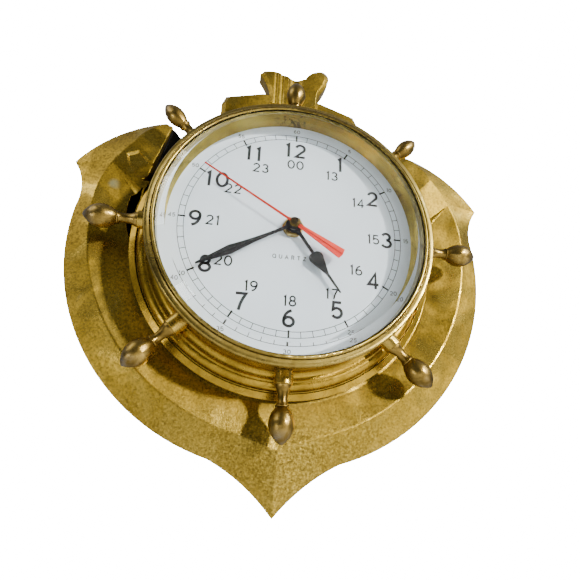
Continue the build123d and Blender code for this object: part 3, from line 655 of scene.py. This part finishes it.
# %% [markdown]
# ## Printing on the dial
# The numerals are drawn with one even stroke, like the routed figures on old instrument plates. Each
# figure is a few centre lines in a box one unit high. A flat ribbon of ink is then laid along every
# line, with its corners mitred. Text objects could do this too, but their fonts have thick and thin
# strokes, and a mono-line figure is exactly what a pantograph engraver cuts.

# %% Figures as centre lines
def arc(cx, cy, rx, ry, start, end, steps=18):
    """Points on an ellipse; angles in degrees, anticlockwise from the right."""
    return [(cx + rx * cos(radians(start + (end - start) * i / steps)),
             cy + ry * sin(radians(start + (end - start) * i / steps))) for i in range(steps + 1)]


HALF_STROKE = 0.065
TOP = 1 - HALF_STROKE
FOOT = HALF_STROKE
FIGURES = {
    "0": (0.30, [arc(0, 0.5, 0.30, 0.5 - FOOT, 90, 450, 32)]),
    "1": (0.12, [[(-0.10, 0.83), (0.05, TOP), (0.05, 0)]]),
    "2": (0.29, [arc(0, 0.68, 0.26, TOP - 0.68, 165, -30) + [(-0.27, FOOT), (0.29, FOOT)]]),
    "3": (0.28, [arc(-0.01, 0.725, 0.225, TOP - 0.725, 160, -90),
                 arc(-0.01, 0.292, 0.27, 0.227, 90, -160)]),
    "4": (0.30, [[(0.13, 0), (0.13, TOP), (-0.29, 0.27), (0.31, 0.27)]]),
    "5": (0.28, [[(0.24, TOP), (-0.19, TOP), (-0.22, 0.52)] + arc(-0.01, 0.335, 0.27, 0.27, 128, -150)]),
    "6": (0.28, [arc(0, 0.31, 0.27, 0.245, 90, 450, 26),
                 [(-0.27, 0.31), (-0.25, 0.50), (-0.17, 0.70), (-0.04, 0.85), (0.15, TOP)]]),
    "7": (0.28, [[(-0.28, TOP), (0.27, TOP), (0.12, 0.66), (0.0, 0.36), (-0.08, 0)]]),
    "8": (0.27, [arc(0, 0.725, 0.22, TOP - 0.725, 90, 450, 24), arc(0, 0.29, 0.27, 0.225, 90, 450, 26)]),
    "9": (0.28, [arc(0, 0.69, 0.27, 0.245, 90, 450, 26),
                 [(0.27, 0.69), (0.25, 0.50), (0.17, 0.30), (0.04, 0.15), (-0.15, FOOT)]]),
    "Q": (0.36, [arc(0, 0.5, 0.36, 0.5 - FOOT, 90, 450, 32), [(0.12, 0.28), (0.38, 0.02)]]),
    "U": (0.30, [[(-0.30, 1.0)] + arc(0, 0.36, 0.30, 0.30, 180, 360) + [(0.30, 1.0)]]),
    "A": (0.34, [[(-0.36, 0), (0, TOP), (0.36, 0)], [(-0.24, 0.32), (0.24, 0.32)]]),
    "R": (0.29, [[(-0.27, 0), (-0.27, TOP), (0.04, TOP)] + arc(0.04, 0.70, 0.22, TOP - 0.70, 90, -90)
                 + [(-0.27, 0.465)], [(0.02, 0.465), (0.29, 0)]]),
    "T": (0.30, [[(-0.32, TOP), (0.32, TOP)], [(0, TOP), (0, 0)]]),
    "Z": (0.28, [[(-0.28, TOP), (0.27, TOP), (-0.28, FOOT), (0.29, FOOT)]]),
}
print("figures:", "".join(FIGURES))


# %% Ink ribbons
INK_UNDER = 0.006 * MM           # the ink's underside stands this far off the dial
INK_TOP = 0.030 * MM
SHARPEST_MITRE = 0.45            # keeps a sharp corner from growing a long spike


def clock_point(angle, radius):
    """Millimetres from the dial's centre, clockwise from 12."""
    return (radius * sin(radians(angle)), radius * cos(radians(angle)))


class Ink:
    """Collects closed ribbons of ink, in millimetres from the dial's centre."""

    def __init__(self):
        self.points = []
        self.faces = []

    def ribbon(self, line, width):
        """Lays a ribbon of one width along a line; a line that ends where it began is a loop."""
        loop = abs(line[0][0] - line[-1][0]) + abs(line[0][1] - line[-1][1]) < 1e-6
        spine = [Vector(p) for p in (line[:-1] if loop else line)]
        count = len(spine)
        first = len(self.points)
        for i, here in enumerate(spine):
            before = spine[(i - 1) % count] if loop or i else None
            after = spine[(i + 1) % count] if loop or i < count - 1 else None
            arriving = (here - before).normalized() if before is not None else (after - here).normalized()
            leaving = (after - here).normalized() if after is not None else arriving
            along = (arriving + leaving).normalized()
            mitre = Vector((-along.y, along.x)) * (width / 2) / max(along.dot(leaving), SHARPEST_MITRE)
            for y in (INK_TOP, INK_UNDER):
                for side in (here + mitre, here - mitre):
                    self.points.append((AXIS_X + side.x * MM, DIAL_Y - y, AXIS_Z + side.y * MM))
        for i in range(count if loop else count - 1):
            a = first + 4 * i
            b = first + 4 * ((i + 1) % count)
            self.faces += [(a, a + 1, b + 1, b), (a + 2, b + 2, b + 3, a + 3),
                           (a, b, b + 2, a + 2), (a + 1, a + 3, b + 3, b + 1)]
        if not loop:
            last = first + 4 * (count - 1)
            self.faces += [(first, first + 2, first + 3, first + 1), (last, last + 1, last + 3, last + 2)]

    def word(self, text, middle, height, stroke, gap):
        """Writes upright figures with their middle at a point; the gap is in parts of the height."""
        widths = [FIGURES[letter][0] for letter in text]
        pen = -(sum(widths) * 2 + gap * (len(text) - 1)) / 2
        for letter, half in zip(text, widths):
            pen += half
            for line in FIGURES[letter][1]:
                placed = [(middle[0] + (pen + x) * height, middle[1] + (y - 0.5) * height) for x, y in line]
                self.ribbon(placed, stroke)
            pen += half + gap

    def ring(self, radius, width, steps=240):
        """Prints a circle about the dial's centre."""
        self.ribbon([clock_point(360 * i / steps, radius) for i in range(steps + 1)], width)

    def piece(self, name, finish):
        """Makes one mesh of the ribbons, which rides on the case as the dial does."""
        mesh = bpy.data.meshes.new(name)
        mesh.from_pydata(self.points, [], self.faces)
        mesh.validate()
        mesh.materials.append(finish)
        made = bpy.data.objects.new(name, mesh)
        bpy.context.scene.collection.objects.link(made)
        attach(made, "case")
        print(name, "has", len(self.faces), "faces")


# %% [markdown]
# ## Which figure goes where
# The large figures are the twelve hours and the small ones inside them the afternoon hours to 00.
# They stand upright, so a printer shifts each one a little to look evenly spaced. Outside them runs
# the minute track: two thin rings with a tick for each minute, a bold tick each five, and the
# minutes in tiny grey figures.

# %% Printing inks
def ink(name, dark, light):
    """Matt printing ink with a faint speckle."""
    finish, tree, shader = new_finish(name)
    speckle = noise(tree, position(tree), 2500, 2)
    plug(tree, shader.inputs["Base Color"], ramp(tree, speckle, (0.3, dark), (0.7, light)))
    plug(tree, shader.inputs["Roughness"], ramp(tree, speckle, (0.3, 0.45), (0.7, 0.6)))
    shader.inputs["Specular IOR Level"].default_value = 0.15
    print(name, "mixed")
    return finish


black_ink = ink("printing_ink", (0.006, 0.006, 0.007), (0.018, 0.018, 0.02))
grey_ink = ink("pale_printing_ink", (0.045, 0.045, 0.05), (0.08, 0.08, 0.085))

# %% Hours
# where each figure's middle is, in millimetres right of and above the dial's centre
LARGE_HOURS = {12: (-0.3, 40.7), 1: (20.8, 36.2), 2: (36.4, 19.8), 3: (42.4, -0.7), 4: (35.8, -20.8),
               5: (19.8, -35.5), 6: (-0.2, -40.8), 7: (-20.0, -35.4), 8: (-35.6, -20.6),
               9: (-41.9, -0.4), 10: (-34.6, 20.0), 11: (-19.7, 36.1)}
SMALL_HOURS = {0: (0, 32.9), 13: (17.2, 29.5), 14: (29.6, 16.8), 15: (36.3, -0.9), 16: (28.2, -16.7),
               17: (17.6, -28.6), 18: (-0.1, -33.4), 19: (-16.3, -28.5), 20: (-28.4, -18.4),
               21: (-34.5, -0.4), 22: (-27.2, 16.2), 23: (-15.8, 28.8)}
LARGE = {"height": 7.6, "stroke": 1.24, "gap": 0.36}
SMALL = {"height": 4.7, "stroke": 0.70, "gap": 0.28}

hours = Ink()
for hour, middle in LARGE_HOURS.items():
    hours.word(str(hour), middle, **LARGE)
hours.piece("hour_figures", black_ink)

afternoon = Ink()
for hour, middle in SMALL_HOURS.items():
    afternoon.word(f"{hour:02d}", middle, **SMALL)
afternoon.piece("afternoon_figures", black_ink)

# %% Minutes
TRACK_IN, TRACK_OUT = 46.46, 49.0
BOLD_REACH = 0.6                 # how far a bold tick reaches in past the track
RING_STROKE, TICK_STROKE, BOLD_STROKE = 0.26, 0.28, 0.75
MINUTE_FIGURES_R = 51.5
TINY = {"height": 1.9, "stroke": 0.32, "gap": 0.28}

track = Ink()
for radius in (TRACK_IN, TRACK_OUT):
    track.ring(radius, RING_STROKE)
for minute in range(60):
    bold = minute % 5 == 0
    inner = TRACK_IN - BOLD_REACH if bold else TRACK_IN
    tick = [clock_point(6 * minute, inner), clock_point(6 * minute, TRACK_OUT)]
    track.ribbon(tick, BOLD_STROKE if bold else TICK_STROKE)
track.piece("minute_track", black_ink)

minutes = Ink()
for minute in range(5, 61, 5):
    minutes.word(str(minute), clock_point(6 * minute, MINUTE_FIGURES_R), **TINY)
minutes.word("QUARTZ", (-1.0, -14.0), height=1.9, stroke=0.36, gap=0.75)
minutes.piece("minute_figures", grey_ink)


# %% Pieces without a finish
bare = [name for name, node in nodes.items()
        if not node.data.materials or not node.data.materials[0].use_nodes]
print("pieces without a finish:", bare)
